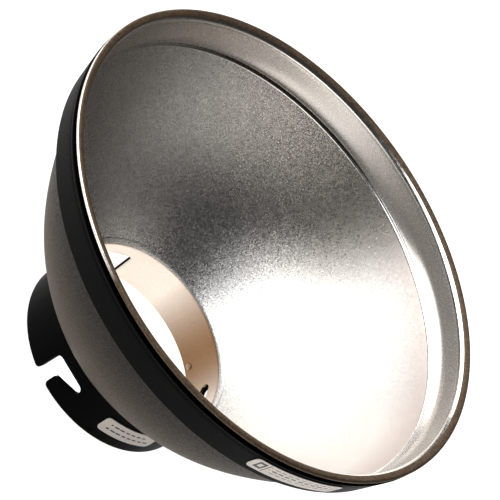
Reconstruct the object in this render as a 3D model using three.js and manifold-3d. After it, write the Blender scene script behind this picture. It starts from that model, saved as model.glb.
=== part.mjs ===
// A spun-aluminium reflector dish for a studio flash head, with a bayonet collar at its back.
// Millimetres, +Z out of the mouth. The origin is the centre of the collar's back face, and +X runs
// through the middle of one bayonet entry. The dish stands on its collar, mouth up.

import * as THREE from "three";
import { mergeVertices } from "three/addons/utils/BufferGeometryUtils.js";
import Module from "manifold-3d";

const wasm = await Module();
wasm.setup();

// How finely round things are cut up.
const RING_SEGMENTS = 72;
const BOWL_STEPS = 9;
const RIVET_SEGMENTS = 12;
const CORNER_STEPS = 4;

// Touching pieces are kept this far apart.
const GAP = 0.3;

// Bowl: one sheet, given by the outside of its curve. Points are radius and height.
const SHEET = 1.0;
const NECK_EDGE = [48.4, 23.45];
const NECK_PULL = [73.2, 46.1];
const SHOULDER_PULL = [87.1, 53.2];
const SHOULDER = [107.7, 100.9];

// Inside faces of the ledge's outer edge and of the rim wall's top.
const LEDGE_OUTER = [109.3, 105.7];
const WALL_TOP = [110.3, 118.9];

// Rolled lip: a crest over a flat underside, ending in a round bead.
const LIP_CREST = [111.9, 120.65];
const LIP_UNDERSIDE = 119.1;
const BEAD_CENTRE = [114.0, 120.2];
const BEAD_RADIUS = 1.04;

// Shoulder band, outside face, and the chamfer along its edges.
const BAND_REAR = [111.6, 101.6];
const BAND_FRONT = [115.1, 117.3];
const BAND_CHAMFER = 0.5;

// Mount collar.
const COLLAR_RADIUS = 48.8;
const COLLAR_WALL = 1.2;
const COLLAR_CHAMFER = 0.3;

// Sleeve inside the collar, and the flared lip that holds the bowl's neck edge down.
const SLEEVE_RADIUS = 46.1;
const SLEEVE_WALL = 1.2;
const SLEEVE_BACK = 0.5;
const SLEEVE_BREAK = 0.6;
const FLARE_RADIUS = 48.5;
const FLARE_THICKNESS = 0.6;

// Bayonet slots: an entry from the back edge, then a leg that narrows as it runs round.
// The entry's blind side leans a little towards the leg.
const SLOT_COUNT = 3;
const ENTRY_HALF = 3.65;
const ENTRY_LEAN = 0.4;
const SLOT_TOP = 16.9;
const SLOT_END = 16.2;
const SLOT_END_RADIUS = 3.1;
const SLOT_CORNER = 3.2;
const SLOT_TIP_HEIGHT = 7.7;
const SLOT_TIP_RADIUS = 1.0;
const SLOT_MOUTH_CORNER = 2.3;
const CUT_DEPTH = 12;

// Rivets near the back edge.
const RIVET_ANGLE = 38.8;
const RIVET_HEIGHT = 3.6;
const RIVET_SHANK = 1.2;
const RIVET_DOME_RADIUS = 1.7;
const RIVET_DOME_HEIGHT = 0.8;
const RIVET_HEAD_RADIUS = 2.0;
const RIVET_HEAD_DEPTH = 0.7;

// Stickers: angle of the middle, height of the middle, length, width, corner.
const LABEL_THICKNESS = 0.25;
const LABEL_GAP = 0.2;
const COLLAR_LABEL = { angle: 56.8, height: 12.1, length: 29.8, width: 10.3, corner: 2.2 };
const BAND_LABEL = { angle: 60.2, height: 110.4, length: 46.5, width: 9.6, corner: 2.2 };

const radians = THREE.MathUtils.degToRad;

// ---- general helpers ----

function point([radius, height]) {
  return new THREE.Vector2(radius, height);
}

// Points of an arc in a profile, from one angle to another, in degrees.
function arc([x, y], radius, from, to, steps = CORNER_STEPS) {
  const points = [];
  for (let i = 0; i <= steps; i++) {
    const angle = radians(from + ((to - from) * i) / steps);
    points.push(new THREE.Vector2(x + radius * Math.cos(angle), y + radius * Math.sin(angle)));
  }
  return points;
}

// The height on the straight line through two profile points, at one radius.
function heightAt(radius, [r0, z0], [r1, z1]) {
  return z0 + ((radius - r0) * (z1 - z0)) / (r1 - r0);
}

// The radius on the straight line through two profile points, at one height.
function radiusAt(height, [r0, z0], [r1, z1]) {
  return r0 + ((height - z0) * (r1 - r0)) / (z1 - z0);
}

function positionsOnly(geometry) {
  const bare = geometry.clone();
  bare.deleteAttribute("normal");
  bare.deleteAttribute("uv");
  return mergeVertices(bare, 1e-4);
}

function toSolid(geometry) {
  const merged = positionsOnly(geometry);
  const mesh = new wasm.Mesh({
    numProp: 3,
    vertProperties: new Float32Array(merged.attributes.position.array),
    triVerts: new Uint32Array(merged.index.array),
  });
  return new wasm.Manifold(mesh);
}

function toGeometry(solid) {
  const mesh = solid.getMesh();
  const geometry = new THREE.BufferGeometry();
  geometry.setAttribute("position", new THREE.BufferAttribute(mesh.vertProperties, 3));
  geometry.setIndex(new THREE.BufferAttribute(mesh.triVerts, 1));
  geometry.computeVertexNormals();
  return geometry;
}

// A ring about Z from a closed profile, whichever way round its points run.
function ring(profile, segments = RING_SEGMENTS) {
  const points = THREE.ShapeUtils.isClockWise(profile) ? [...profile].reverse() : [...profile];
  points.push(points[0].clone());
  return new THREE.LatheGeometry(points, segments).rotateX(Math.PI / 2);
}

// A prism whose outline stands on Z and faces outwards at an angle about Z.
// The outline's x runs round the ring, anticlockwise seen from the mouth, and its y is height.
function radialPrism(outline, angle, radius, depth) {
  const out = new THREE.Vector3(Math.cos(radians(angle)), Math.sin(radians(angle)), 0);
  const round = new THREE.Vector3(-out.y, out.x, 0);
  const place = new THREE.Matrix4().makeBasis(round, new THREE.Vector3(0, 0, 1), out);
  place.setPosition(out.clone().multiplyScalar(radius - depth / 2));
  const prism = new THREE.ExtrudeGeometry(outline, {
    depth,
    bevelEnabled: false,
    curveSegments: CORNER_STEPS,
  });
  return prism.applyMatrix4(place);
}

// A turned piece whose own axis points outwards at an angle about Z, at one height.
function radialTurning(profile, angle, height) {
  return new THREE.LatheGeometry(profile, RIVET_SEGMENTS)
    .rotateZ(-Math.PI / 2)
    .rotateZ(radians(angle))
    .translate(0, 0, height);
}

function cutAll(geometry, cutters) {
  let solid = toSolid(geometry);
  for (const cutter of cutters) solid = solid.subtract(toSolid(cutter));
  return toGeometry(solid);
}

function roundedRectangle(length, width, corner, middleHeight) {
  const [x, y] = [length / 2 - corner, width / 2 - corner];
  const corners = [
    ...arc([x, middleHeight - y], corner, -90, 0),
    ...arc([x, middleHeight + y], corner, 0, 90),
    ...arc([-x, middleHeight + y], corner, 90, 180),
    ...arc([-x, middleHeight - y], corner, 180, 270),
  ];
  return new THREE.Shape(corners);
}

// ---- bowl ----

// The curve of the bowl from neck to shoulder, moved off its outside face by a distance.
function bowlCurve(offset) {
  const ends = [NECK_EDGE, NECK_PULL, SHOULDER_PULL, SHOULDER].map(point);
  const curve = new THREE.CubicBezierCurve(...ends);
  const points = [];
  for (let i = 0; i <= BOWL_STEPS; i++) {
    const t = i / BOWL_STEPS;
    const along = curve.getTangent(t);
    const inwards = new THREE.Vector2(-along.y, along.x);
    points.push(curve.getPoint(t).addScaledVector(inwards, offset));
  }
  return points;
}

function bowlGeometry() {
  const wallOutside = (height) => radiusAt(height, LEDGE_OUTER, WALL_TOP) + SHEET;
  const wallFoot = LEDGE_OUTER[1] - SHEET / 3;
  const wallHead = LIP_UNDERSIDE - SHEET / 2;
  return ring([
    ...bowlCurve(0),
    point([wallOutside(wallFoot), wallFoot]),
    point([wallOutside(wallHead), wallHead]),
    point([wallOutside(wallHead) + SHEET / 2, LIP_UNDERSIDE]),
    ...arc(BEAD_CENTRE, BEAD_RADIUS, -135, 110, 2 * CORNER_STEPS),
    point(LIP_CREST),
    point([WALL_TOP[0] + SHEET / 2, (WALL_TOP[1] + LIP_CREST[1]) / 2 + SHEET / 5]),
    point(WALL_TOP),
    point(LEDGE_OUTER),
    ...bowlCurve(SHEET).reverse(),
  ]);
}

// ---- shoulder band ----

function bandGeometry() {
  const taper = (height) => radiusAt(height, BAND_REAR, BAND_FRONT);
  const wall = (height) => radiusAt(height, LEDGE_OUTER, WALL_TOP) + SHEET + GAP;
  const rearZ = BAND_REAR[1];
  const frontZ = BAND_FRONT[1];
  return ring([
    point([SHOULDER[0] + 2 * GAP, rearZ]),
    point([BAND_REAR[0] - BAND_CHAMFER, rearZ]),
    point([taper(rearZ + BAND_CHAMFER), rearZ + BAND_CHAMFER]),
    point([taper(frontZ - BAND_CHAMFER), frontZ - BAND_CHAMFER]),
    point([BAND_FRONT[0] - BAND_CHAMFER, frontZ]),
    point([wall(frontZ), frontZ]),
    point([wall(LEDGE_OUTER[1]) + GAP / 2, LEDGE_OUTER[1] - SHEET / 3]),
  ]);
}

// ---- collar and sleeve ----

// The outline of one bayonet slot. Its x is measured from the middle of the entry.
function slotOutline() {
  const below = -2;
  const mouth = ENTRY_HALF + SLOT_MOUTH_CORNER;
  const tip = [ENTRY_HALF + SLOT_TIP_RADIUS, SLOT_TIP_HEIGHT - SLOT_TIP_RADIUS];
  const end = [SLOT_END - SLOT_END_RADIUS, SLOT_TOP - SLOT_END_RADIUS];
  const blind = [ENTRY_LEAN + SLOT_CORNER - ENTRY_HALF, SLOT_TOP - SLOT_CORNER];
  return new THREE.Shape([
    new THREE.Vector2(mouth, below),
    ...arc([mouth, SLOT_MOUTH_CORNER], SLOT_MOUTH_CORNER, 270, 180),
    ...arc(tip, SLOT_TIP_RADIUS, 180, 110),
    ...arc(end, SLOT_END_RADIUS, -75, 90, 2 * CORNER_STEPS),
    ...arc(blind, SLOT_CORNER, 90, 180),
    ...arc([-mouth, SLOT_MOUTH_CORNER], SLOT_MOUTH_CORNER, 0, -90),
    new THREE.Vector2(-mouth, below),
  ]);
}

function slotCutters() {
  const outline = slotOutline();
  const cutters = [];
  for (let i = 0; i < SLOT_COUNT; i++) {
    cutters.push(radialPrism(outline, (360 / SLOT_COUNT) * i, COLLAR_RADIUS, CUT_DEPTH));
  }
  return cutters;
}

function rivetAngles() {
  return Array.from({ length: SLOT_COUNT }, (_, i) => RIVET_ANGLE + (360 / SLOT_COUNT) * i);
}

// A hole through sleeve and collar, countersunk on the outside.
function rivetHole(angle) {
  const hole = RIVET_SHANK + GAP;
  const sink = RIVET_HEAD_RADIUS + GAP;
  const bottom = COLLAR_RADIUS - RIVET_HEAD_DEPTH - GAP / 2;
  return radialTurning(
    [
      point([0, SLEEVE_RADIUS - 2]),
      point([hole, SLEEVE_RADIUS - 2]),
      point([hole, bottom]),
      point([sink, COLLAR_RADIUS]),
      point([sink, COLLAR_RADIUS + 1]),
      point([0, COLLAR_RADIUS + 1]),
    ],
    angle,
    RIVET_HEIGHT,
  );
}

function collarGeometry() {
  const inner = COLLAR_RADIUS - COLLAR_WALL;
  const top = (radius) => heightAt(radius, NECK_EDGE, NECK_PULL) - GAP;
  const tube = ring([
    point([inner + COLLAR_CHAMFER, 0]),
    point([COLLAR_RADIUS - COLLAR_CHAMFER, 0]),
    point([COLLAR_RADIUS, COLLAR_CHAMFER]),
    point([COLLAR_RADIUS, top(COLLAR_RADIUS)]),
    point([inner, top(inner)]),
    point([inner, COLLAR_CHAMFER]),
  ]);
  return cutAll(tube, [...slotCutters(), ...rivetAngles().map(rivetHole)]);
}

function sleeveGeometry() {
  const outer = SLEEVE_RADIUS + SLEEVE_WALL;
  const slope = (NECK_PULL[1] - NECK_EDGE[1]) / (NECK_PULL[0] - NECK_EDGE[0]);
  const tilt = Math.hypot(1, slope);
  const under = (radius) => heightAt(radius, NECK_EDGE, NECK_PULL) + (SHEET + GAP) * tilt;
  const over = (radius) => under(radius) + FLARE_THICKNESS * tilt;
  const edge = FLARE_RADIUS - FLARE_THICKNESS / 2;
  const tube = ring([
    point([SLEEVE_RADIUS, SLEEVE_BACK]),
    point([outer, SLEEVE_BACK]),
    point([outer, under(outer)]),
    point([FLARE_RADIUS, under(FLARE_RADIUS)]),
    point([edge, over(edge)]),
    point([SLEEVE_RADIUS + SLEEVE_BREAK, over(SLEEVE_RADIUS + SLEEVE_BREAK)]),
    point([SLEEVE_RADIUS, over(SLEEVE_RADIUS) - SLEEVE_BREAK]),
  ]);
  return cutAll(tube, [...slotCutters(), ...rivetAngles().map(rivetHole)]);
}

// ---- rivets and stickers ----

function rivetGeometry(angle) {
  const domeBase = SLEEVE_RADIUS - GAP;
  const outerEnd = COLLAR_RADIUS - GAP / 2;
  const headBottom = outerEnd - RIVET_HEAD_DEPTH;
  return radialTurning(
    [
      point([0, domeBase - RIVET_DOME_HEIGHT]),
      point([0.65 * RIVET_DOME_RADIUS, domeBase - 0.75 * RIVET_DOME_HEIGHT]),
      point([RIVET_DOME_RADIUS, domeBase]),
      point([RIVET_SHANK, domeBase]),
      point([RIVET_SHANK, headBottom]),
      point([RIVET_HEAD_RADIUS, outerEnd]),
      point([0, outerEnd]),
    ],
    angle,
    RIVET_HEIGHT,
  );
}

// A thin sticker that follows the face between two profile points.
function labelGeometry(label, low, high) {
  const inner = (height) => radiusAt(height, low, high) + LABEL_GAP;
  const outer = (height) => inner(height) + LABEL_THICKNESS;
  const bottom = label.height - label.width / 2 - 1;
  const top = label.height + label.width / 2 + 1;
  const skin = ring([
    point([inner(bottom), bottom]),
    point([outer(bottom), bottom]),
    point([outer(top), top]),
    point([inner(top), top]),
  ]);
  const outline = roundedRectangle(label.length, label.width, label.corner, label.height);
  const stamp = radialPrism(outline, label.angle, inner(label.height), 2 * CUT_DEPTH);
  return toGeometry(toSolid(skin).intersect(toSolid(stamp)));
}

// ---- materials ----

function finish(color, roughness, metalness) {
  return new THREE.MeshStandardMaterial({ color, roughness, metalness });
}

const satinSilver = finish(0x9a948c, 0.45, 1.0);
const blackRubber = finish(0x1b1b1d, 0.75, 0.0);
const blackPaint = finish(0x161617, 0.5, 0.2);
const plainAluminium = finish(0xd9c6ae, 0.35, 1.0);
const rivetAluminium = finish(0xc8c0b4, 0.3, 1.0);
const silverFoil = finish(0xc4bdb8, 0.5, 0.6);

// ---- assembly ----

function named(name, geometry, material) {
  const mesh = new THREE.Mesh(geometry, material);
  mesh.name = name;
  return mesh;
}

const COLLAR_LOW = [COLLAR_RADIUS, 0];
const COLLAR_HIGH = [COLLAR_RADIUS, SLOT_TOP];

const dish = new THREE.Group();
dish.add(
  named("reflector_bowl", bowlGeometry(), satinSilver),
  named("shoulder_band", bandGeometry(), blackRubber),
  named("band_label", labelGeometry(BAND_LABEL, BAND_REAR, BAND_FRONT), silverFoil),
);

const mount = new THREE.Group();
mount.add(
  named("mount_collar", collarGeometry(), blackPaint),
  named("neck_sleeve", sleeveGeometry(), plainAluminium),
  named("collar_label", labelGeometry(COLLAR_LABEL, COLLAR_LOW, COLLAR_HIGH), silverFoil),
);
rivetAngles().forEach((angle, i) => {
  mount.add(named(`sleeve_rivet_${i + 1}`, rivetGeometry(angle), rivetAluminium));
});

const reflector = new THREE.Group();
reflector.add(dish, mount);

export default reflector;
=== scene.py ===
"""Looks for a studio-flash reflector dish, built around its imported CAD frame.

Metres, +Z out of the dish's mouth, origin at the middle of the mount collar's back face. The bowl,
the shoulder band, the mount collar, the sleeve in it, the rivets and the stickers are each one
closed mesh that stands for its CAD node. Profiles are lists of (radius, height).
"""

import math

import bmesh
import bpy
from mathutils import Matrix, Vector
from mathutils.geometry import delaunay_2d_cdt


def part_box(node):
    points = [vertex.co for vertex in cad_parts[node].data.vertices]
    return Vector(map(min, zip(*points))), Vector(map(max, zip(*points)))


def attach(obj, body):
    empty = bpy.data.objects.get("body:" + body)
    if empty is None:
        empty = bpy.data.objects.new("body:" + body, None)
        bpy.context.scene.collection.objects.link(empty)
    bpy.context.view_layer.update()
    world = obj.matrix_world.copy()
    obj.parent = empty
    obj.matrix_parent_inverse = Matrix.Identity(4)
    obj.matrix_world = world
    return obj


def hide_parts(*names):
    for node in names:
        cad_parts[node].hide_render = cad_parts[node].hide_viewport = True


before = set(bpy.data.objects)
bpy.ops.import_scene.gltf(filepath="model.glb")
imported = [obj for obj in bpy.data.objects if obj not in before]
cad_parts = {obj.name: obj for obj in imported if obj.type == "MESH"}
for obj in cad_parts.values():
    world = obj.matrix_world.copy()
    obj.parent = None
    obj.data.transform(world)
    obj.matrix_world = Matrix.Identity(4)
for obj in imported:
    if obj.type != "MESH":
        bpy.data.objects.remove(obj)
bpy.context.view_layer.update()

MM = 0.001

# How finely round things are cut up, in segments of a full ring or steps of a curve.
RING_SEGMENTS = 288
RIVET_SEGMENTS = 32
HOLE_STEPS = 20
CURVE_STEPS = 44
FILLET_STEPS = 5
BEAD_STEPS = 15
CREST_STEPS = 6
FOOT_STEPS = 12
DOME_STEPS = 8

# Slotted walls: degrees between columns, height between rows, rows along the sleeve's flare, and how
# far the grid's points keep from an edge.
WALL_COLUMN = 2.5
WALL_ROW = 2.4 * MM
FLARE_ROWS = 14
CLEAR = 0.8 * MM

# A triangle in a rivet's hole has its middle nearer than this share of the hole's radius. A wall's
# face is one of its cut edges where its normal points out from the axis by less than this.
IN_HOLE = 0.98
CUT_FACING = 0.9
CUT_TOLERANCE = 1e-9

# Points of a wall are welded where they round to the same key: keys in half a third of the ring, and
# keys in a millimetre of height.
TURN_KEYS = 100000
HEIGHT_KEYS = 10000

# Camera: it looks at this point of the object from this direction, turned about its own axis.
TARGET = Vector((0.0099, -0.0023, 0.1077))
CAMERA_DISTANCE = 0.993
CAMERA_AZIMUTH = 12.3
CAMERA_ELEVATION = 36.4
CAMERA_ROLL = 55.94
CAMERA_LENS = 164.6
CAMERA_NEAR = 0.01

# Lamps, which face one point: azimuth, elevation, distance, width and height, and radiance.
LAMP_AIM = Vector((0, 0, 0.07))
SIDE_LAMP = (287, 42, 1.1, (2.0, 1.8), 3.0)
FLOOR_LAMP = (0, 90, 2.5, (6.0, 6.0), 2.6)

# Stage sheets: half their width, and how far the unseen one lies under the dish.
FLOOR_HALF = 6.0
BOUNCE_HALF = 1.5
BOUNCE_DROP = 0.5 * MM

# Brightness of the surroundings above and below, and between which directions' heights it changes.
WORLD_HIGH = 0.03
WORLD_LOW = 0.13
HORIZON_GLOW_ABOVE = 0.3
HORIZON_GLOW_BELOW = 0.1

# Bowl: a sheet whose outside runs on one curve from the neck to the shoulder, then on a sloping
# ledge and a wall up to the lip's bead.
SHEET = 1.0 * MM
NECK_EDGE = Vector((48.4, 23.45)) * MM
NECK_PULL = Vector((73.2, 46.1)) * MM
SHOULDER_PULL = Vector((87.1, 53.2)) * MM
SHOULDER = Vector((107.7, 100.9)) * MM
LEDGE_OUTER = Vector((109.3, 105.7)) * MM
WALL_TOP = Vector((110.3, 118.9)) * MM
LIP_CREST = Vector((111.9, 120.65)) * MM
LIP_UNDERSIDE = 119.1 * MM
BEAD_RADIUS = 1.04 * MM
BEAD_ANGLES = (-120, 105)

# How far the bowl's corners are rounded. The wall's foot is rounded up the wall and along the ledge.
NECK_ROUND = 0.3 * MM
SHOULDER_ROUND = 0.4 * MM
OUTER_FOOT_ROUND = 0.8 * MM
UNDER_LIP_ROUND = 0.6 * MM
CREST_ROUND = 1.0 * MM
WALL_TOP_ROUND = 0.8 * MM
FOOT_ROUND = (6.2 * MM, 2.5 * MM)

# Fine grooves under the lip's inner edge and at the ledge's outer edge, and a ridge at its inner
# edge: distance, width and depth.
LIP_GROOVE = (1.25 * MM, 0.5 * MM, 0.3 * MM)
LEDGE_GROOVE = (2.2 * MM, 0.4 * MM, 0.2 * MM)
LEDGE_RIDGE = (0.6 * MM, 0.9 * MM, 0.26 * MM)

# The bowl's materials, in the order of its slots, which steps of the bead are rubbed, and from which
# step of the crest on the metal is bare.
INSIDE, LEDGE, WALL, OUTSIDE, LIP, BRIGHT, RUBBED = range(7)
RUBBED_STEPS = (7, 11)
BARE_STEP = 5

# Shoulder band: how far its outside tapers in from front to rear, its rounded edges, its gap to the
# bowl, and a groove near its front edge: distance, width and depth.
BAND_TAPER = 3.5 * MM
BAND_ROUND = 0.55 * MM
BAND_GAP = 0.3 * MM
BAND_GROOVE = (1.75 * MM, 0.55 * MM, 0.3 * MM)
BAND_STEPS = 6

# Mount collar and the sleeve inside it. The sleeve bends out into its flare above the slots, and
# the flare's finish starts a little under its inner corner.
COLLAR_WALL = 1.2 * MM
SLEEVE_RADIUS = 46.1 * MM
SLEEVE_WALL = 1.2 * MM
SLEEVE_BEND = 4 * MM
FLARE_THICKNESS = 0.6 * MM
FLARE_ROUND_INSIDE = 1.4 * MM
FLARE_ROUND_OUTSIDE = 0.9 * MM
FLARE_FINISH_DROP = 0.3 * MM
EDGE_ROUND = 0.22 * MM

# Bayonet slots: an entry from the back edge and a leg that runs round to one side.
SLOT_COUNT = 3
ENTRY_HALF = 3.65 * MM
ENTRY_LEAN = 0.4 * MM
SLOT_TOP = 16.9 * MM
SLOT_END = 16.2 * MM
SLOT_END_RADIUS = 3.1 * MM
SLOT_CORNER = 3.2 * MM
SLOT_TIP_HEIGHT = 7.7 * MM
SLOT_TIP_RADIUS = 1.0 * MM
SLOT_MOUTH_CORNER = 2.3 * MM

# Rivets: a low dome inside the sleeve, and a flush end that stays a little under the collar's face.
RIVET_SHANK = 1.2 * MM
RIVET_HOLE = 1.35 * MM
RIVET_DOME_RADIUS = 1.7 * MM
RIVET_DOME_HEIGHT = 0.8 * MM
RIVET_DOME_RIM = 0.05 * MM
RIVET_CHAMFER = 0.12 * MM
RIVET_GAP = 0.15 * MM
WELD = 1e-7

# Stickers: plates cut into small cells, a gap off the face under them.
LABEL_THICKNESS = 0.25 * MM
LABEL_CORNER = 2.2 * MM
LABEL_CELL = 0.5 * MM
LABEL_GAP = 0.2 * MM

# Print, in shares of a sticker's length and width: start, end, low, high. The rows are cut into
# dashes by a sine along the length, at a rate, where it is above a level.
COLLAR_ROWS = ((0.10, 0.90, 0.26, 0.36), (0.12, 0.80, 0.60, 0.70))
COLLAR_DASHES = (61, -0.55)
BAND_ROWS = ((0.18, 0.95, 0.22, 0.30), (0.18, 0.95, 0.46, 0.54), (0.18, 0.95, 0.70, 0.78))
BAND_DASHES = (83, -0.6)
BAND_SQUARE = (0.05, 0.13, 0.2, 0.8)
BAND_SQUARE_HOLE = (0.07, 0.11, 0.32, 0.68)
BAND_RULE = (0.150, 0.164, 0.1, 0.9)

# Colours. A pair is a grain's or a patch's two ends.
BLASTED_GRAINS = ((0.56, 0.555, 0.545), (0.68, 0.675, 0.665))
BLASTED_PATCH = (0.58, 0.56, 0.53)
BLASTED_WARM = (0.74, 0.66, 0.59)
# Painted highlight colours for the bowl's inside: whiter on one side, rosy near the rim.
BLASTED_PAINTED_HIGHLIGHT = (0.90, 0.87, 0.84)
BLASTED_PAINTED_ROSY = (0.72, 0.64, 0.60)
LEDGE_SILVER = ((0.55, 0.54, 0.54), (0.62, 0.61, 0.61))
# Painted shade on the ledge: dark brown towards one side.
LEDGE_PAINTED_SHADE = (0.15, 0.115, 0.088)
WALL_SILVER = ((0.57, 0.53, 0.49), (0.65, 0.61, 0.57))
# Painted shade on the inner wall: darker bluish grey towards one side.
WALL_PAINTED_SHADE = (0.22, 0.24, 0.25)
TURNED_EDGE = ((0.80, 0.77, 0.73), (0.92, 0.90, 0.87))
OUTSIDE_PAINT = ((0.010, 0.007, 0.005), (0.092, 0.072, 0.054))
LIP_PAINT = ((0.080, 0.054, 0.035), (0.170, 0.120, 0.082))
PAINT_GLOSS = (0.55, 0.46, 0.38)
PAINT_SPECK = (0.26, 0.23, 0.20)
# Painted shade on the bowl's outside, towards the band.
OUTSIDE_PAINTED_SHADE = (0.005, 0.004, 0.003)
PAINT_WORN = (0.90, 0.88, 0.85)
BAND_BLACK = ((0.0008, 0.0008, 0.0008), (0.0045, 0.004, 0.0035))
COLLAR_BLACK = ((0.0006, 0.0006, 0.0006), (0.0035, 0.003, 0.0025))
COLLAR_RUBBED = (0.10, 0.09, 0.08)
SLEEVE_BARE = ((0.74, 0.65, 0.57), (0.70, 0.60, 0.52))
# A painted brown reflection on one side of the sleeve.
SLEEVE_PAINTED_REFLECTION = (0.21, 0.118, 0.060)
RIVET_BROWN = ((0.26, 0.17, 0.11), (0.36, 0.25, 0.17))
FOIL_SILVER = ((0.76, 0.68, 0.62), (0.84, 0.76, 0.70))
INK_BLACK = ((0.03, 0.03, 0.03), (0.3, 0.28, 0.26))
PAPER_WHITE = ((0.86, 0.86, 0.85), (0.88, 0.88, 0.87))
WORLD_COLOUR = (1.0, 0.98, 0.95)

# Where looks change towards one side of the dish: the side's angle about Z, and how far out from the
# axis the change starts and ends. The first four are the bowl's blasted inside, and the second of
# them places its painted highlight. The ledge's and the wall's sides place painted shade, and the
# sleeve's side a painted brown reflection.
WARM_SIDE = (190, 60 * MM, 95 * MM)
PAINTED_HIGHLIGHT_SIDE = (120, 40 * MM, 90 * MM)
MATT_SIDE = (120, 30 * MM, 85 * MM)
EVEN_SIDE = (120, 0, 80 * MM)
PAINTED_SHADE_LEDGE_SIDE = (222, 82 * MM, 102 * MM)
PAINTED_SHADE_WALL_SIDE = (70, 84 * MM, 106 * MM)
CURVED_SIDE = (128, 62 * MM, 101 * MM)
RUBBED_SIDE = (291, 40 * MM, 52 * MM)
PAINTED_REFLECTION_SLEEVE_SIDE = (162, 33.2 * MM, 46.1 * MM)

# Where looks change with height: the bowl's inside turns rosy in its painted highlight, its outside
# turns dark with painted shade, the wall's foot curves in, and the collar's paint is rubbed off its
# back edge.
PAINTED_ROSY_HEIGHTS = (84 * MM, 99 * MM)
SHADED_HEIGHTS = (64 * MM, 92 * MM)
CURVED_HEIGHTS = (106.6 * MM, 110.6 * MM)
RUBBED_HEIGHTS = (0, 0.8 * MM)


# ---- plane geometry ----

def arc(centre, radius, start, end, steps):
    """Points of an arc, from one angle in degrees to another."""
    points = []
    for i in range(steps + 1):
        angle = math.radians(start + (end - start) * i / steps)
        points.append(Vector(centre) + radius * Vector((math.cos(angle), math.sin(angle))))
    return points


def bezier(ends, steps, offset=0.0):
    """Points of a cubic curve, moved to its left by a distance."""
    a, b, c, d = ends
    points = []
    for i in range(steps + 1):
        t = i / steps
        u = 1 - t
        place = u**3 * a + 3 * u * u * t * b + 3 * u * t * t * c + t**3 * d
        heading = (u * u * (b - a) + 2 * u * t * (c - b) + t * t * (d - c)).normalized()
        points.append(place + offset * Vector((-heading.y, heading.x)))
    return points


def rounded(before, corner, after, radius, end_radius=None, steps=FILLET_STEPS):
    """The corner of a line through three points, rounded by a quadratic curve."""
    start = corner + (before - corner).normalized() * radius
    end = corner + (after - corner).normalized() * (end_radius or radius)
    points = []
    for i in range(steps + 1):
        t = i / steps
        points.append((1 - t) ** 2 * start + 2 * t * (1 - t) * corner + t * t * end)
    return points


def notch(start, end, reach, width, depth):
    """A small groove in the line from start to end, at a distance from its start."""
    heading = (end - start).normalized()
    inwards = Vector((-heading.y, heading.x))
    middle = start + heading * reach
    return [middle - heading * width / 2, middle + inwards * depth, middle + heading * width / 2]


def line(start, end, steps):
    """Points between two ends, without the ends."""
    return [start.lerp(end, i / steps) for i in range(1, steps)]


def point_along(path, share):
    """The point at a share of the length of a path."""
    lengths = [(path[i + 1] - path[i]).length for i in range(len(path) - 1)]
    left = share * sum(lengths)
    for i, length in enumerate(lengths):
        if left <= length:
            return path[i].lerp(path[i + 1], left / length)
        left -= length
    return path[-1]


def inside_polygon(point, polygon):
    """Whether a point lies inside a closed polygon."""
    inside = False
    for i, a in enumerate(polygon):
        b = polygon[i - 1]
        if (a.y > point.y) != (b.y > point.y):
            if point.x < a.x + (point.y - a.y) * (b.x - a.x) / (b.y - a.y):
                inside = not inside
    return inside


def distance_to(point, polygon):
    """The distance from a point to the nearest side of a closed polygon."""
    best = math.inf
    for i, a in enumerate(polygon):
        side = a - polygon[i - 1]
        share = max(0, min(1, (point - polygon[i - 1]).dot(side) / side.length_squared))
        best = min(best, (point - polygon[i - 1] - share * side).length)
    return best


# ---- meshes ----

def outwards(angle):
    """The unit vector that points outwards at an angle about Z, in radians."""
    return Vector((math.cos(angle), math.sin(angle), 0))


def new_piece(name, bm, materials):
    """A shown object on the root body, made from a closed bmesh, with the given materials in its
    slots.
    """
    bmesh.ops.recalc_face_normals(bm, faces=bm.faces)
    if bm.calc_volume(signed=True) < 0:
        bmesh.ops.reverse_faces(bm, faces=bm.faces)
    mesh = bpy.data.meshes.new(name)
    bm.to_mesh(mesh)
    bm.free()
    for material in materials:
        mesh.materials.append(material)
    mesh.shade_smooth()
    piece = bpy.data.objects.new(name, mesh)
    bpy.context.scene.collection.objects.link(piece)
    weighted = piece.modifiers.new("even_normals", "WEIGHTED_NORMAL")
    weighted.keep_sharp = True
    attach(piece, "root")
    return piece


def turn(profile, indices=None, segments=RING_SEGMENTS):
    """A bmesh ring from a closed profile; indices gives the material of each strip of faces."""
    bm = bmesh.new()
    rings = []
    for radius, height in profile:
        ring = []
        for i in range(segments):
            angle = 2 * math.pi * i / segments
            ring.append(bm.verts.new((radius * math.cos(angle), radius * math.sin(angle), height)))
        rings.append(ring)
    for row, lower in enumerate(rings):
        upper = rings[(row + 1) % len(rings)]
        for i in range(segments):
            j = (i + 1) % segments
            face = bm.faces.new((lower[i], lower[j], upper[j], upper[i]))
            face.material_index = indices[row] if indices else 0
    return bm


# ---- bowl ----

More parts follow.
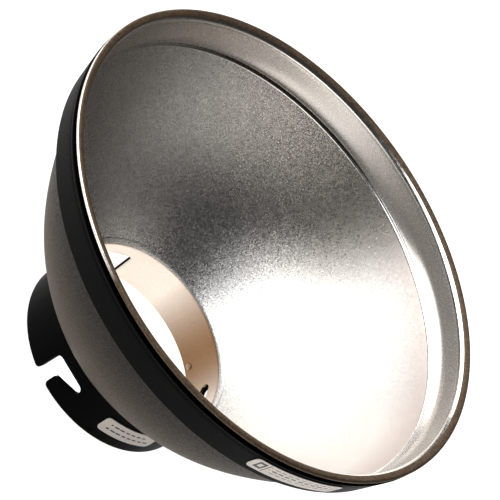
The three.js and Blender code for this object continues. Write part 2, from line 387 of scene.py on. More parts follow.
def bowl_sections():
    """The stretches of the bowl's closed profile, each with its material."""
    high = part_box("reflector_bowl")[1]
    bead = Vector((high.x - BEAD_RADIUS, high.z - BEAD_RADIUS))
    ends = (NECK_EDGE, NECK_PULL, SHOULDER_PULL, SHOULDER)
    outer = bezier(ends, CURVE_STEPS)
    inner = bezier(ends, CURVE_STEPS, SHEET)
    lean = (WALL_TOP - LEDGE_OUTER) / (WALL_TOP.y - LEDGE_OUTER.y)
    foot = LEDGE_OUTER + Vector((SHEET, -SHEET / 3))
    head = foot + lean * (LIP_UNDERSIDE - foot.y)
    bead_arc = arc(bead, BEAD_RADIUS, *BEAD_ANGLES, BEAD_STEPS)
    crest = rounded(bead_arc[-1], LIP_CREST, WALL_TOP, CREST_ROUND, steps=CREST_STEPS)
    lip_groove = notch(WALL_TOP, LEDGE_OUTER, *LIP_GROOVE)
    ledge_start = LEDGE_OUTER + (inner[-1] - LEDGE_OUTER).normalized() * FOOT_ROUND[1]
    ledge_length = (ledge_start - inner[-1]).length
    ledge_groove = notch(ledge_start, inner[-1], ledge_length - LEDGE_GROOVE[0], *LEDGE_GROOVE[1:])
    ledge_ridge = notch(inner[-1], LEDGE_OUTER, *LEDGE_RIDGE)[::-1]
    foot_curve = rounded(WALL_TOP, LEDGE_OUTER, inner[-1], *FOOT_ROUND, steps=FOOT_STEPS)
    rub_start, rub_end = RUBBED_STEPS
    return [
        (outer[:-1], OUTSIDE),
        (rounded(outer[-2], SHOULDER, foot, SHOULDER_ROUND), OUTSIDE),
        (rounded(SHOULDER, foot, head, OUTER_FOOT_ROUND), OUTSIDE),
        (rounded(foot, head, bead_arc[0], UNDER_LIP_ROUND), OUTSIDE),
        (bead_arc[:rub_start], LIP),
        (bead_arc[rub_start:rub_end], RUBBED),
        (bead_arc[rub_end:], LIP),
        (crest[:BARE_STEP], LIP),
        (crest[BARE_STEP:], BRIGHT),
        (rounded(LIP_CREST, WALL_TOP, LEDGE_OUTER, WALL_TOP_ROUND), BRIGHT),
        (lip_groove, WALL),
        (line(lip_groove[-1], foot_curve[0], 4), WALL),
        (foot_curve, WALL),
        (ledge_groove, LEDGE),
        (line(ledge_groove[-1], ledge_ridge[0], 4), LEDGE),
        (ledge_ridge[:-1], BRIGHT),
        (ledge_ridge[-1:], INSIDE),
        (inner[-1:0:-1], INSIDE),
        (rounded(inner[1], inner[0], outer[0], NECK_ROUND), INSIDE),
    ]


def make_bowl(materials):
    """The reflector bowl, with its materials in the order of their slots."""
    profile = []
    indices = []
    for points, index in bowl_sections():
        profile += points
        indices += [index] * len(points)
    piece = new_piece("bowl", turn(profile, indices), materials)
    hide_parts("reflector_bowl")


# ---- shoulder band ----

def make_band(material):
    """The tapered ring round the bowl's wall, with a groove near its front edge."""
    low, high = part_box("shoulder_band")
    rear = Vector((high.x - BAND_TAPER, low.z))
    front = Vector((high.x, high.z))
    lean = (WALL_TOP.x - LEDGE_OUTER.x) / (WALL_TOP.y - LEDGE_OUTER.y)
    front_inside = Vector((WALL_TOP.x - lean * (WALL_TOP.y - front.y) + SHEET + BAND_GAP, front.y))
    foot_inside = LEDGE_OUTER + Vector((SHEET + 1.5 * BAND_GAP, -SHEET / 3))
    rear_inside = Vector((SHOULDER.x + 2 * BAND_GAP, rear.y))
    corners = [rear_inside, rear, front, front_inside, foot_inside]
    profile = []
    for i, corner in enumerate(corners):
        after = corners[(i + 1) % len(corners)]
        profile += rounded(corners[i - 1], corner, after, BAND_ROUND)
        side_end = after + (corner - after).normalized() * BAND_ROUND
        if corner is rear:
            reach = (front - rear).length - BAND_GROOVE[0]
            groove = notch(rear, front, reach, *BAND_GROOVE[1:])
            profile += line(profile[-1], groove[0], BAND_STEPS) + groove
        else:
            profile += line(profile[-1], side_end, BAND_STEPS)
    piece = new_piece("band", turn(profile), [material])
    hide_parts("shoulder_band")


# ---- slotted walls ----

def slot_outline():
    """One slot's outline from left to right, as distance round the ring and height."""
    mouth = ENTRY_HALF + SLOT_MOUTH_CORNER
    blind = (ENTRY_LEAN + SLOT_CORNER - ENTRY_HALF, SLOT_TOP - SLOT_CORNER)
    end = (SLOT_END - SLOT_END_RADIUS, SLOT_TOP - SLOT_END_RADIUS)
    tip = (ENTRY_HALF + SLOT_TIP_RADIUS, SLOT_TIP_HEIGHT - SLOT_TIP_RADIUS)
    points = arc((-mouth, SLOT_MOUTH_CORNER), SLOT_MOUTH_CORNER, -90, 0, 8)
    points += arc(blind, SLOT_CORNER, 180, 90, 10)
    points += arc(end, SLOT_END_RADIUS, 90, -75, 16)
    points += arc(tip, SLOT_TIP_RADIUS, 110, 180, 6)
    points += arc((mouth, SLOT_MOUTH_CORNER), SLOT_MOUTH_CORNER, 180, 270, 8)
    return points


def third_border(half, xs, ys):
    """The outline of one third of a slotted wall, with its slot cut in from the back edge."""
    bottom = ys[0]
    cut = [Vector((p.x, max(p.y, bottom))) for p in slot_outline()]
    border = [Vector((x, bottom)) for x in xs if x < cut[0].x - CLEAR]
    border += cut
    border += [Vector((x, bottom)) for x in xs if x > cut[-1].x + CLEAR]
    border += [Vector((half, y)) for y in ys[1:]]
    border += [Vector((x, ys[-1])) for x in reversed(xs[:-1])]
    border += [Vector((-half, y)) for y in reversed(ys[1:-1])]
    return border


def ring_edges(first, count):
    """The pairs of neighbours in a closed ring of points."""
    return [(first + i, first + (i + 1) % count) for i in range(count)]


def slotted_sheet(radius, ys, rivet):
    """A flat pattern of one third of a slotted wall: its points, triangles and half width.

    x runs round the ring from -60 to +60 degrees about a slot; ys are the heights of the rows.
    """
    half = radius * math.radians(180 / SLOT_COUNT)
    columns = round(360 / SLOT_COUNT / WALL_COLUMN)
    xs = [-half + 2 * half * i / columns for i in range(columns + 1)]
    border = third_border(half, xs, ys)
    hole = arc(rivet, RIVET_HOLE, 0, 360, HOLE_STEPS)[:-1]
    points = border + hole
    edges = ring_edges(0, len(border)) + ring_edges(len(border), len(hole))
    for x in xs[1:-1]:
        for y in ys[1:-1]:
            spot = Vector((x, y))
            near_hole = (spot - rivet).length < RIVET_HOLE + CLEAR
            if inside_polygon(spot, border) and distance_to(spot, border) > CLEAR and not near_hole:
                points.append(spot)
    flat, _, faces, _, _, _ = delaunay_2d_cdt(points, edges, [], 0, CUT_TOLERANCE)
    kept = []
    for face in faces:
        middle = sum((flat[i] for i in face), Vector((0, 0))) / 3
        if inside_polygon(middle, border) and (middle - rivet).length > RIVET_HOLE * IN_HOLE:
            kept.append(list(face))
    return flat, kept, half


def close_rims(bm, made):
    """Joins a wall's two faces along their free edges, and bevels those edges.

    made gives each point by its keys round the ring and in height and its side, 0 for the outer.
    """
    partner = {}
    for key, vert in made.items():
        partner[vert] = made[(key[0], key[1], 1 - key[2])]
    outer = {vert for key, vert in made.items() if key[2] == 0}
    free = [e for e in bm.edges if e.is_boundary and e.verts[0] in outer]
    rims = list(free)
    for edge in free:
        a, b = edge.verts
        rims.append(bm.edges.get((partner[a], partner[b])))
        bm.faces.new((a, b, partner[b], partner[a]))
    bmesh.ops.recalc_face_normals(bm, faces=bm.faces)
    bmesh.ops.bevel(bm, geom=rims, offset=EDGE_ROUND, segments=2, profile=0.5, affect="EDGES",
                    clamp_overlap=True)


def slotted_wall(radius, ys, rivet, surface):
    """A closed bmesh wall from the flat pattern, repeated round the ring.

    surface(y) gives the (radius, height) of the outer and the inner face at a row's height.
    """
    flat, triangles, half = slotted_sheet(radius, ys, rivet)
    bm = bmesh.new()
    made = {}

    def vertex(index, copy, side):
        spot = flat[index]
        turned = copy * 2 * half + spot.x
        column = round(turned / half * TURN_KEYS) % (2 * SLOT_COUNT * TURN_KEYS)
        key = (column, round(spot.y / MM * HEIGHT_KEYS), side)
        if key not in made:
            reach, height = surface(spot.y)[side]
            made[key] = bm.verts.new(outwards(turned / radius) * reach + Vector((0, 0, height)))
        return made[key]

    for copy in range(SLOT_COUNT):
        for triangle in triangles:
            bm.faces.new([vertex(i, copy, 0) for i in triangle])
            bm.faces.new([vertex(i, copy, 1) for i in reversed(triangle)])
    close_rims(bm, made)
    return bm


def even_rows(bottom, top):
    """Heights from bottom to top, about WALL_ROW apart."""
    count = max(2, round((top - bottom) / WALL_ROW))
    return [bottom + (top - bottom) * i / count for i in range(count + 1)]


def neck_slope():
    """How steeply the bowl rises at its neck."""
    return (NECK_PULL.y - NECK_EDGE.y) / (NECK_PULL.x - NECK_EDGE.x)


def rivet_place(node):
    """The angle about Z and the height of a rivet's middle."""
    low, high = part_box(node)
    middle = (low + high) / 2
    return math.atan2(middle.y, middle.x), middle.z


def make_collar(material):
    """The slotted collar, whose front edge is cut to the slope of the bowl's neck."""
    low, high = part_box("mount_collar")
    outer = -low.x
    inner = outer - COLLAR_WALL
    slant = neck_slope() * COLLAR_WALL
    slant_start = SLOT_TOP + EDGE_ROUND
    angle, height = rivet_place("sleeve_rivet_1")

    def surface(y):
        share = max(0, (y - slant_start) / (high.z - slant_start))
        return (outer, y), (inner, y - share * slant)

    rivet = Vector((outer * angle, height))
    bm = slotted_wall(outer, even_rows(low.z, high.z), rivet, surface)
    piece = new_piece("collar", bm, [material])
    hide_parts("mount_collar")


def sleeve_paths(low, high, bend):
    """The flare's outer and inner face from bend to rim, and the height of its inner corner."""
    tilt = math.hypot(1, neck_slope())
    edge = -low.x - FLARE_THICKNESS / 2

    def under(radius):
        return high.z - FLARE_THICKNESS * tilt + (radius - edge) * neck_slope()

    outer = SLEEVE_RADIUS + SLEEVE_WALL
    outer_start = Vector((outer, bend))
    outer_corner = Vector((outer, under(outer)))
    outer_end = Vector((-low.x, under(-low.x)))
    outer_bend = rounded(outer_start, outer_corner, outer_end, FLARE_ROUND_OUTSIDE)
    inner_start = Vector((SLEEVE_RADIUS, bend))
    inner_corner = Vector((SLEEVE_RADIUS, under(SLEEVE_RADIUS) + FLARE_THICKNESS * tilt))
    inner_end = Vector((edge, high.z))
    inner_bend = rounded(inner_start, inner_corner, inner_end, FLARE_ROUND_INSIDE)
    outer_path = [outer_start, *outer_bend, outer_end]
    inner_path = [inner_start, *inner_bend, inner_end]
    return outer_path, inner_path, inner_corner.y


def mark_sleeve_faces(bm, flare_start):
    """Gives the cut edges of the slot on +X the second material, and the flare the third."""
    for face in bm.faces:
        middle = face.calc_center_median()
        out = Vector((middle.x, middle.y, 0)).normalized()
        if middle.z > flare_start:
            face.material_index = 2
        elif middle.x > SLEEVE_RADIUS / 2 and abs(face.normal.dot(out)) < CUT_FACING:
            face.material_index = 1


def make_sleeve(materials):
    """The slotted sleeve, whose flare holds the bowl's neck down on the collar."""
    low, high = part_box("neck_sleeve")
    bend = SLOT_TOP + SLEEVE_BEND
    outer_path, inner_path, corner_height = sleeve_paths(low, high, bend)
    length = sum((b - a).length for a, b in zip(inner_path, inner_path[1:]))
    angle, height = rivet_place("sleeve_rivet_1")

    def surface(y):
        if y <= bend:
            return (SLEEVE_RADIUS + SLEEVE_WALL, y), (SLEEVE_RADIUS, y)
        share = (y - bend) / length
        return point_along(outer_path, share), point_along(inner_path, share)

    ys = even_rows(low.z, bend)
    ys += [bend + length * i / FLARE_ROWS for i in range(1, FLARE_ROWS + 1)]
    rivet = Vector((SLEEVE_RADIUS * angle, height))
    bm = slotted_wall(SLEEVE_RADIUS, ys, rivet, surface)
    bm.normal_update()
    mark_sleeve_faces(bm, corner_height - FLARE_FINISH_DROP)
    piece = new_piece("sleeve", bm, materials)
    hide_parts("neck_sleeve")


# ---- rivets and stickers ----

def rivet_profile():
    """A rivet's closed profile, as (radius, distance out from Z), and the material of each strip."""
    dome_base = SLEEVE_RADIUS - RIVET_GAP
    end = -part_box("mount_collar")[0].x - RIVET_GAP
    profile = []
    for i in range(DOME_STEPS + 1):
        angle = math.radians(90 * i / DOME_STEPS)
        height = dome_base - RIVET_DOME_HEIGHT * math.cos(angle)
        profile.append(Vector((RIVET_DOME_RADIUS * math.sin(angle), height)))
    profile.append(Vector((RIVET_SHANK, dome_base + RIVET_DOME_RIM)))
    bare = len(profile)
    profile.append(Vector((RIVET_SHANK, end - RIVET_CHAMFER)))
    profile.append(Vector((RIVET_SHANK - RIVET_CHAMFER, end)))
    profile.append(Vector((0, end)))
    return profile, [0] * bare + [1] * (len(profile) - bare)


def make_rivet(number, materials):
    """A rivet through the sleeve and the collar, turned from the first by whole thirds."""
    node = f"sleeve_rivet_{number}"
    first, height = rivet_place("sleeve_rivet_1")
    third = 2 * math.pi / SLOT_COUNT
    angle = first + third * round((rivet_place(node)[0] - first) / third)
    bm = turn(*rivet_profile(), segments=RIVET_SEGMENTS)
    bmesh.ops.remove_doubles(bm, verts=bm.verts, dist=WELD)
    facing = Vector((0, 0, 1)).rotation_difference(outwards(angle)).to_matrix().to_4x4()
    bm.transform(Matrix.Translation((0, 0, height)) @ facing)
    piece = new_piece(f"rivet_{number}", bm, materials)
    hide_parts(node)


def grid_border(columns, rows):
    """The places round the edge of a grid, in order."""
    loop = [(i, 0) for i in range(columns)] + [(columns, j) for j in range(rows)]
    loop += [(i, rows) for i in range(columns, 0, -1)] + [(0, j) for j in range(rows, 0, -1)]
    return loop


def label_grid(bm, node, radius_at):
    """The points of a curved plate with round corners, and how many columns and rows they make.

    A point is found by its side, 0 for the face and 1 for the back, its column and its row.
    """
    low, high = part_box(node)
    middle = (low + high) / 2
    angle = math.atan2(middle.y, middle.x)
    width = high.z - low.z
    length = math.hypot(high.x - low.x, high.y - low.y)
    radius = radius_at(middle.z) + LABEL_THICKNESS
    columns = round(length / LABEL_CELL)
    rows = round(width / LABEL_CELL)
    grid = {}
    for side, lift in ((0, LABEL_THICKNESS), (1, 0)):
        for i in range(columns + 1):
            x = length * (i / columns - 0.5)
            inset = max(0, abs(x) - length / 2 + LABEL_CORNER)
            corner = LABEL_CORNER - math.sqrt(LABEL_CORNER**2 - inset**2)
            for j in range(rows + 1):
                y = (width / 2 - corner) * (2 * j / rows - 1)
                reach = radius_at(middle.z + y) + LABEL_GAP + lift
                place = outwards(angle + x / radius) * reach + Vector((0, 0, middle.z + y))
                grid[side, i, j] = bm.verts.new(place)
    return grid, columns, rows


def make_label(name, node, radius_at, inked, materials):
    """A sticker whose face has inked and plain cells; radius_at(z) gives the face under it."""
    bm = bmesh.new()
    grid, columns, rows = label_grid(bm, node, radius_at)
    for i in range(columns):
        for j in range(rows):
            cell = [(i, j), (i + 1, j), (i + 1, j + 1), (i, j + 1)]
            face = bm.faces.new([grid[0, a, b] for a, b in cell])
            face.material_index = 1 if inked(i / columns, j / rows) else 0
            bm.faces.new([grid[1, a, b] for a, b in reversed(cell)])
    loop = grid_border(columns, rows)
    for k, (a, b) in enumerate(loop):
        c, d = loop[(k + 1) % len(loop)]
        bm.faces.new((grid[1, a, b], grid[1, c, d], grid[0, c, d], grid[0, a, b]))
    piece = new_piece(name, bm, materials)
    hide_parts(node)


def within(u, v, area):
    """Whether a place lies in an area of a sticker."""
    start, end, low, high = area
    return start < u < end and low < v < high


def dashes(u, v, rows, rate, level):
    """Whether a place lies on a dash of one of the rows."""
    return any(within(u, v, row) for row in rows) and math.sin(u * rate) > level


def collar_print(u, v):
    """Two rows of plain dashes."""
    return dashes(u, v, COLLAR_ROWS, *COLLAR_DASHES)


def band_print(u, v):
    """A plain framed square, a rule beside it and three rows of dashes."""
    if within(u, v, BAND_SQUARE):
        return not within(u, v, BAND_SQUARE_HOLE)
    return within(u, v, BAND_RULE) or dashes(u, v, BAND_ROWS, *BAND_DASHES)


# ---- materials ----

class Surface:
    """A node material with one Principled shader and helpers for procedural detail."""

    def __init__(self, name, roughness, metallic, specular=0.5):
        self.material = bpy.data.materials.new(name)
        self.material.use_nodes = True
        self.nodes = self.material.node_tree.nodes
        self.links = self.material.node_tree.links
        self.shader = self.nodes["Principled BSDF"]
        self.shader.inputs["Roughness"].default_value = roughness
        self.shader.inputs["Metallic"].default_value = metallic
        self.shader.inputs["Specular IOR Level"].default_value = specular
        self.place = self.nodes.new("ShaderNodeTexCoord").outputs["Object"]

    def noise(self, scale, detail=2.0, rough=0.5, stretch=(1, 1, 1)):
        """A cloudy pattern; scale is how many clouds there are in a metre."""
        mapping = self.nodes.new("ShaderNodeMapping")
        mapping.inputs["Scale"].default_value = stretch
        self.links.new(self.place, mapping.inputs["Vector"])
        noise = self.nodes.new("ShaderNodeTexNoise")
        noise.inputs["Scale"].default_value = scale
        noise.inputs["Detail"].default_value = detail
        noise.inputs["Roughness"].default_value = rough
        self.links.new(mapping.outputs["Vector"], noise.inputs["Vector"])
        return noise.outputs["Fac"]

    def grains(self, scale):
        """A random value in each cell of a fine cell pattern."""
        cells = self.nodes.new("ShaderNodeTexVoronoi")
        cells.inputs["Scale"].default_value = scale
        self.links.new(self.place, cells.inputs["Vector"])
        split = self.nodes.new("ShaderNodeSeparateColor")
        self.links.new(cells.outputs["Color"], split.inputs["Color"])
        return split.outputs["Red"]

    def stretch(self, value, low, high, to_low, to_high):
        """Maps a value from one range to another, clamped."""
        ranged = self.nodes.new("ShaderNodeMapRange")
        ranged.inputs["From Min"].default_value = low
        ranged.inputs["From Max"].default_value = high
        ranged.inputs["To Min"].default_value = to_low
        ranged.inputs["To Max"].default_value = to_high
        self.links.new(value, ranged.inputs["Value"])
        return ranged.outputs["Result"]

    def times(self, a, b):
        """The product of two values."""
        node = self.nodes.new("ShaderNodeMath")
        node.operation = "MULTIPLY"
        self.links.new(a, node.inputs[0])
        self.links.new(b, node.inputs[1])
        return node.outputs["Value"]

    def mix(self, share, first, second):
        """A colour between two, each of which is a colour or an earlier mix."""
        node = self.nodes.new("ShaderNodeMix")
        node.data_type = "RGBA"
        self.links.new(share, node.inputs["Factor"])
        for socket, value in zip((node.inputs[6], node.inputs[7]), (first, second)):
            if isinstance(value, tuple):
                socket.default_value = (*value, 1)
            else:
                self.links.new(value, socket)
        return node.outputs[2]

    def vector_math(self, operation, a, b=None):
        """A vector maths node on a vector and, unless b is None, a second vector."""
        node = self.nodes.new("ShaderNodeVectorMath")
        node.operation = operation
        self.links.new(a, node.inputs[0])
        if isinstance(b, tuple):
            node.inputs[1].default_value = b
        elif b is not None:
            self.links.new(b, node.inputs[1])
        return node

    def side(self, side, to_low, to_high):
        """A value that changes towards one side of the dish, from to_low to to_high."""
        angle, start, end = side
        direction = tuple(outwards(math.radians(angle)))
        distance = self.vector_math("DOT_PRODUCT", self.place, direction).outputs["Value"]
        return self.stretch(distance, start, end, to_low, to_high)

    def rise(self, heights, to_low, to_high):
        """A value that changes between two heights, from to_low to to_high."""
        split = self.nodes.new("ShaderNodeSeparateXYZ")
        self.links.new(self.place, split.inputs["Vector"])
        return self.stretch(split.outputs["Z"], *heights, to_low, to_high)

    def tilted(self, change):
        """The surface's normal, tilted by a vector."""
        normal = self.nodes.new("ShaderNodeNewGeometry").outputs["Normal"]
        summed = self.vector_math("ADD", change, normal)
        return self.vector_math("NORMALIZE", summed.outputs["Vector"]).outputs["Vector"]

    def flakes(self, scale, tilt):
        """The surface's normal, tilted by a fine random pattern; tilt is a number or a value."""
        noise = self.nodes.new("ShaderNodeTexNoise")
        noise.inputs["Scale"].default_value = scale
        noise.inputs["Detail"].default_value = 1
        self.links.new(self.place, noise.inputs["Vector"])
        centred = self.vector_math("SUBTRACT", noise.outputs["Color"], (0.5, 0.5, 0.5))
        scaled = self.vector_math("SCALE", centred.outputs["Vector"])
        if isinstance(tilt, float):
            scaled.inputs["Scale"].default_value = tilt
        else:
            self.links.new(tilt, scaled.inputs["Scale"])
        return self.tilted(scaled.outputs["Vector"])

    def lean_up(self, amount):
        """The surface's normal, leaned upwards."""
        up = self.nodes.new("ShaderNodeCombineXYZ")
        self.links.new(amount, up.inputs["Z"])
        return self.tilted(up.outputs["Vector"])

    def bump(self, value, strength, distance, normal=None):
        """Sets the shader's normal from a height, on the surface's normal or a tilted one."""
        node = self.nodes.new("ShaderNodeBump")
        if normal:
            self.links.new(normal, node.inputs["Normal"])
        node.inputs["Strength"].default_value = strength
        node.inputs["Distance"].default_value = distance
        self.links.new(value, node.inputs["Height"])
        self.links.new(node.outputs["Normal"], self.shader.inputs["Normal"])

    def set(self, socket, value):
        """Sets one of the shader's inputs to a value or a mix."""
        self.links.new(value, self.shader.inputs[socket])


def blasted_metal():
    """The bowl's inside: bead-blasted aluminium that sparkles, smoother on one side, with painted
    highlight there.
    """
    look = Surface("blasted_aluminium", roughness=0.28, metallic=1.0)
    grain = look.grains(2000)
    tint = look.mix(grain, *BLASTED_GRAINS)
    patches = look.stretch(look.noise(26, detail=3), 0.35, 0.65, 0, 0.2)
    patched = look.mix(patches, tint, BLASTED_PATCH)
    warmed = look.mix(look.side(WARM_SIDE, 0, 0.6), patched, BLASTED_WARM)
    # Painted highlight: the colour turns whiter towards one side, and rosy near the rim.
    painted_highlight = look.mix(look.rise(PAINTED_ROSY_HEIGHTS, 0, 1), BLASTED_PAINTED_HIGHLIGHT, BLASTED_PAINTED_ROSY)
    look.set("Base Color", look.mix(look.side(PAINTED_HIGHLIGHT_SIDE, 0, 0.9), warmed, painted_highlight))
    rough = look.stretch(grain, 0, 1, 0.20, 0.30)
    look.set("Roughness", look.times(rough, look.side(MATT_SIDE, 1, 1.7)))
    flakes = look.flakes(4200, tilt=look.side(EVEN_SIDE, 1.05, 0.5))
    look.bump(look.noise(900), strength=0.05, distance=0.05 * MM, normal=flakes)
    return look.material


def ledge_metal():
    """The ledge: smooth silver sheet with soft patches, and painted shade, dark brown, on one side.
    """
    look = Surface("ledge_metal", roughness=0.26, metallic=1.0)
    grain = look.noise(1900, detail=3)
    unshaded_silver = look.mix(look.stretch(look.noise(18, detail=3), 0.3, 0.7, 0, 1), *LEDGE_SILVER)
    # Painted shade: the ledge turns dark brown towards one side.
    look.set("Base Color", look.mix(look.side(PAINTED_SHADE_LEDGE_SIDE, 0, 0.95), unshaded_silver, LEDGE_PAINTED_SHADE))
    look.set("Roughness", look.stretch(grain, 0.3, 0.7, 0.22, 0.30))
    look.bump(grain, strength=0.05, distance=0.03 * MM)
    return look.material


def wall_paint():
    """The rim's inner wall: smooth silver paint with painted shade on one side, that curves in at
    its foot.
    """
    look = Surface("wall_silver_paint", roughness=0.26, metallic=0.72)
    grain = look.noise(1900, detail=3)
    silver = look.mix(look.stretch(look.noise(18, detail=3), 0.3, 0.7, 0, 1), *WALL_SILVER)
    # Painted shade: the wall turns darker bluish grey towards one side.
    look.set("Base Color", look.mix(look.side(PAINTED_SHADE_WALL_SIDE, 0, 0.8), silver, WALL_PAINTED_SHADE))
    look.set("Roughness", look.stretch(grain, 0.3, 0.7, 0.22, 0.30))
    curve = look.times(look.rise(CURVED_HEIGHTS, 0.42, 0), look.side(CURVED_SIDE, 0.12, 1))
    look.bump(grain, strength=0.05, distance=0.03 * MM, normal=look.lean_up(curve))
    return look.material


def bright_edge():
    """The lip's and the ledge's inner edges, where the metal is turned bare."""
    look = Surface("bright_turned_edge", roughness=0.18, metallic=1.0)
    marks = look.noise(700, detail=3)
    look.set("Base Color", look.mix(look.stretch(marks, 0.35, 0.65, 0, 1), *TURNED_EDGE))
    look.set("Roughness", look.stretch(marks, 0.3, 0.7, 0.14, 0.26))
    look.bump(marks, strength=0.1, distance=0.03 * MM)
    return look.material


def taupe_paint(name, dark_grain, light_grain, shaded=False, rubbed=False):
    """Fine-grained metallic taupe paint, for the bowl's outside and the lip.

    Shaded paint turns darker under the band, as painted shade. Rubbed paint is worn to bare metal on
    one side.
    """
    look = Surface(name, roughness=0.5, metallic=0.35, specular=0.2)
    look.shader.inputs["Specular Tint"].default_value = (*PAINT_GLOSS, 1)
    grain = look.grains(1250)
    grains = look.mix(grain, dark_grain, light_grain)
    clouded = look.mix(look.stretch(look.noise(30, detail=4), 0.35, 0.7, 0, 0.4), grains, dark_grain)
    colour = look.mix(look.stretch(look.noise(700), 0.70, 0.76, 0, 0.4), clouded, PAINT_SPECK)
    rough = look.stretch(grain, 0, 1, 0.42, 0.58)
    if shaded:
        # Painted shade: the paint turns darker towards the band.
        colour = look.mix(look.rise(SHADED_HEIGHTS, 0, 0.95), colour, OUTSIDE_PAINTED_SHADE)
    if rubbed:
        worn = look.side(RUBBED_SIDE, 0, 1)
        colour = look.mix(worn, colour, PAINT_WORN)
        rough = look.times(rough, look.stretch(worn, 0, 1, 1, 0.5))
        look.set("Metallic", look.stretch(worn, 0, 1, 0.35, 1))
    look.set("Base Color", colour)
    look.set("Roughness", rough)
    look.bump(look.noise(1200), strength=0.25, distance=0.1 * MM, normal=look.flakes(1600, tilt=0.5))
    return look.material


def black_plastic():
    """The shoulder band: black moulded plastic with a fine texture and dusty patches."""
    look = Surface("black_moulded_band", roughness=0.55, metallic=0.0, specular=0.03)
    grain = look.noise(1500, detail=3)
    dust = look.stretch(look.noise(60, detail=5, rough=0.6), 0.5, 0.8, 0, 0.6)
    look.set("Base Color", look.mix(dust, *BAND_BLACK))
    look.set("Roughness", look.stretch(grain, 0.3, 0.7, 0.46, 0.62))
    look.bump(grain, strength=0.35, distance=0.15 * MM)
    return look.material


def black_paint():
    """The collar: semi-matte black paint, rubbed along its back edge and scuffed lightly."""
    look = Surface("black_collar_paint", roughness=0.42, metallic=0.0, specular=0.02)
    scuffs = look.noise(130, detail=5, rough=0.65, stretch=(1, 1, 0.25))
    paint = look.mix(look.stretch(scuffs, 0.6, 0.75, 0, 0.7), *COLLAR_BLACK)
    wear = look.stretch(look.noise(240, detail=4), 0.55, 0.66, 0, 1)
    rubbed = look.times(look.rise(RUBBED_HEIGHTS, 1, 0), wear)
    look.set("Base Color", look.mix(rubbed, paint, COLLAR_RUBBED))
    look.set("Roughness", look.stretch(scuffs, 0.3, 0.7, 0.36, 0.5))
    look.bump(look.noise(1300, detail=3), strength=0.2, distance=0.08 * MM)
    return look.material


def plain_aluminium():
    """The sleeve: bare turned aluminium, with a painted brown reflection on one side."""
    look = Surface("plain_aluminium", roughness=0.3, metallic=1.0)
    fine = look.noise(800, detail=3)
    bare = look.mix(look.stretch(look.noise(30, detail=3), 0.35, 0.65, 0, 1), *SLEEVE_BARE)
    # Painted reflection: the sleeve turns brown towards one side.
    look.set("Base Color", look.mix(look.side(PAINTED_REFLECTION_SLEEVE_SIDE, 0, 1), bare, SLEEVE_PAINTED_REFLECTION))
    look.set("Roughness", look.stretch(fine, 0.3, 0.7, 0.26, 0.34))
    look.bump(fine, strength=0.06, distance=0.03 * MM)
    return look.material


def rivet_aluminium():
    """The rivets' domes: aluminium stained brown."""
    look = Surface("rivet_aluminium", roughness=0.4, metallic=1.0)
    marks = look.noise(1600, detail=3)
    look.set("Base Color", look.mix(look.stretch(marks, 0.4, 0.6, 0, 1), *RIVET_BROWN))
    look.set("Roughness", look.stretch(marks, 0.3, 0.7, 0.36, 0.5))
    look.bump(marks, strength=0.15, distance=0.05 * MM)
    return look.material


def foil():
    """A silver sticker, a little yellowed and rubbed."""
    look = Surface("silver_foil", roughness=0.45, metallic=0.3)
    cloud = look.noise(160, detail=4)
    look.set("Base Color", look.mix(look.stretch(cloud, 0.35, 0.65, 0, 1), *FOIL_SILVER))
    look.set("Roughness", look.stretch(cloud, 0.3, 0.7, 0.36, 0.52))
    look.bump(look.noise(900), strength=0.12, distance=0.05 * MM)
    return look.material


def ink():
    """Black print that has worn thin in places."""
    look = Surface("label_ink", roughness=0.5, metallic=0.0)
    wear = look.noise(1500, detail=3)
    look.set("Base Color", look.mix(look.stretch(wear, 0.55, 0.7, 0, 0.6), *INK_BLACK))
    look.bump(wear, strength=0.1, distance=0.03 * MM)
    return look.material


def stage_paper(name):
    """A sheet of the stage: matt white with faint clouds."""
    look = Surface(name, roughness=0.7, metallic=0.0, specular=0.2)
    clouds = look.stretch(look.noise(6, detail=4), 0.3, 0.7, 0, 1)
    look.set("Base Color", look.mix(clouds, *PAPER_WHITE))
    return look.material


# ---- stage ----

def facing_from(azimuth, elevation, aim, distance):
    """The direction to a viewpoint from what it faces, and its matrix without a roll."""
    lift = math.radians(elevation)
    back = outwards(math.radians(azimuth)) * math.cos(lift) + Vector((0, 0, math.sin(lift)))
    upright = back.to_track_quat("Z", "Y").to_matrix().to_4x4()
    return Matrix.Translation(aim + back * distance) @ upright


def place_camera():
    """Looks at TARGET from the given direction, with a roll about the line of sight."""
    camera = bpy.data.objects.new("camera", bpy.data.cameras.new("camera"))
    camera.data.lens = CAMERA_LENS
    camera.data.clip_start = CAMERA_NEAR
    view = facing_from(CAMERA_AZIMUTH, CAMERA_ELEVATION, TARGET, CAMERA_DISTANCE)
    camera.matrix_world = view @ Matrix.Rotation(math.radians(CAMERA_ROLL), 4, "Z")
    bpy.context.scene.collection.objects.link(camera)
    bpy.context.scene.camera = camera


def softbox(name, azimuth, elevation, distance, size, radiance):
    """A rectangular area light of a given brightness, unseen by the camera."""
    light = bpy.data.lights.new(name, "AREA")
    light.shape = "RECTANGLE"
    light.size, light.size_y = size
    light.energy = radiance * math.pi * size[0] * size[1]
    lamp = bpy.data.objects.new(name, light)
    lamp.matrix_world = facing_from(azimuth, elevation, LAMP_AIM, distance)
    lamp.visible_camera = False
    bpy.context.scene.collection.objects.link(lamp)
    return lamp


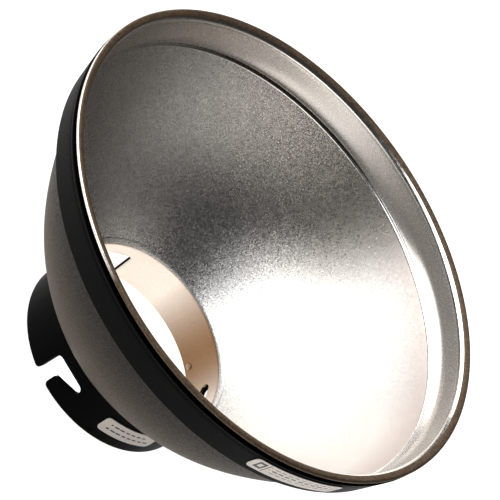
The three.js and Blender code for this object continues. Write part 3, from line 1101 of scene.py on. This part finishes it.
def make_world():
    """Dim surroundings that grow lighter below the horizon; pale where the camera sees them."""
    world = bpy.data.worlds.new("studio")
    world.use_nodes = True
    nodes = world.node_tree.nodes
    links = world.node_tree.links
    direction = nodes.new("ShaderNodeTexCoord").outputs["Generated"]
    split = nodes.new("ShaderNodeSeparateXYZ")
    links.new(direction, split.inputs["Vector"])
    fall = nodes.new("ShaderNodeMapRange")
    fall.inputs["From Min"].default_value = HORIZON_GLOW_BELOW
    fall.inputs["From Max"].default_value = HORIZON_GLOW_ABOVE
    fall.inputs["To Min"].default_value = WORLD_LOW
    fall.inputs["To Max"].default_value = WORLD_HIGH
    links.new(split.outputs["Z"], fall.inputs["Value"])
    seen = nodes.new("ShaderNodeLightPath").outputs["Is Camera Ray"]
    strength = nodes.new("ShaderNodeMix")
    strength.inputs["B"].default_value = 1.0
    links.new(seen, strength.inputs["Factor"])
    links.new(fall.outputs["Result"], strength.inputs["A"])
    background = nodes["Background"]
    background.inputs["Color"].default_value = (*WORLD_COLOUR, 1)
    links.new(strength.outputs["Result"], background.inputs["Strength"])
    bpy.context.scene.world = world


def flat_sheet(name, half, drop):
    """A square stage sheet, a given distance under the dish."""
    bm = bmesh.new()
    bmesh.ops.create_grid(bm, x_segments=1, y_segments=1, size=half)
    bmesh.ops.translate(bm, verts=bm.verts, vec=(0, 0, -drop))
    mesh = bpy.data.meshes.new(name)
    bm.to_mesh(mesh)
    bm.free()
    mesh.materials.append(stage_paper(name + "_paper"))
    sheet = bpy.data.objects.new(name, mesh)
    bpy.context.scene.collection.objects.link(sheet)
    return sheet


def make_floor(side_lamp):
    """A pale floor, evenly lit by its own lamp, over a sheet that gives the dish its bounce light.

    The camera and reflections see the floor. The side lamp doesn't light it, so the dish throws no
    shadow on it. The camera doesn't see the sheet under it.
    """
    floor = flat_sheet("floor", FLOOR_HALF, 0)
    floor.visible_diffuse = False
    floor.visible_shadow = False
    bounce = flat_sheet("bounce_sheet", BOUNCE_HALF, BOUNCE_DROP)
    bounce.visible_camera = False
    only_floor = bpy.data.collections.new("floor_only")
    only_floor.objects.link(floor)
    lamp = softbox("floor_lamp", *FLOOR_LAMP)
    lamp.visible_glossy = False
    lamp.light_linking.receiver_collection = only_floor
    lamp.light_linking.blocker_collection = only_floor
    all_but_floor = bpy.data.collections.new("all_but_floor")
    all_but_floor.objects.link(floor)
    all_but_floor.collection_objects[0].light_linking.link_state = "EXCLUDE"
    side_lamp.light_linking.receiver_collection = all_but_floor


def light_stage():
    """Soft studio light from the dish's -Y side, dim surroundings and a pale floor."""
    side_lamp = softbox("side_softbox", *SIDE_LAMP)
    make_world()
    make_floor(side_lamp)
    bpy.context.scene.view_settings.view_transform = "Standard"


# ---- assembly ----

def make_stickers(materials):
    """The sticker on the collar, and the one on the band's tapered outside."""
    collar_radius = -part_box("mount_collar")[0].x
    low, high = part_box("shoulder_band")
    slope = BAND_TAPER / (high.z - low.z)

    def collar_face(z):
        return collar_radius

    def band_face(z):
        return high.x - (high.z - z) * slope

    make_label("collar_sticker", "collar_label", collar_face, collar_print, materials)
    make_label("band_sticker", "band_label", band_face, band_print, materials)


place_camera()
light_stage()
blasted = blasted_metal()
collar_paint = black_paint()
rivet_metal = rivet_aluminium()
make_bowl([
    blasted,
    ledge_metal(),
    wall_paint(),
    taupe_paint("taupe_metallic_paint", *OUTSIDE_PAINT, shaded=True),
    taupe_paint("lip_paint", *LIP_PAINT),
    bright_edge(),
    taupe_paint("rubbed_lip_paint", *LIP_PAINT, rubbed=True),
])
make_band(black_plastic())
make_collar(collar_paint)
make_sleeve([plain_aluminium(), collar_paint, blasted])
for number in range(1, SLOT_COUNT + 1):
    make_rivet(number, [rivet_metal, collar_paint])
make_stickers([foil(), ink()])
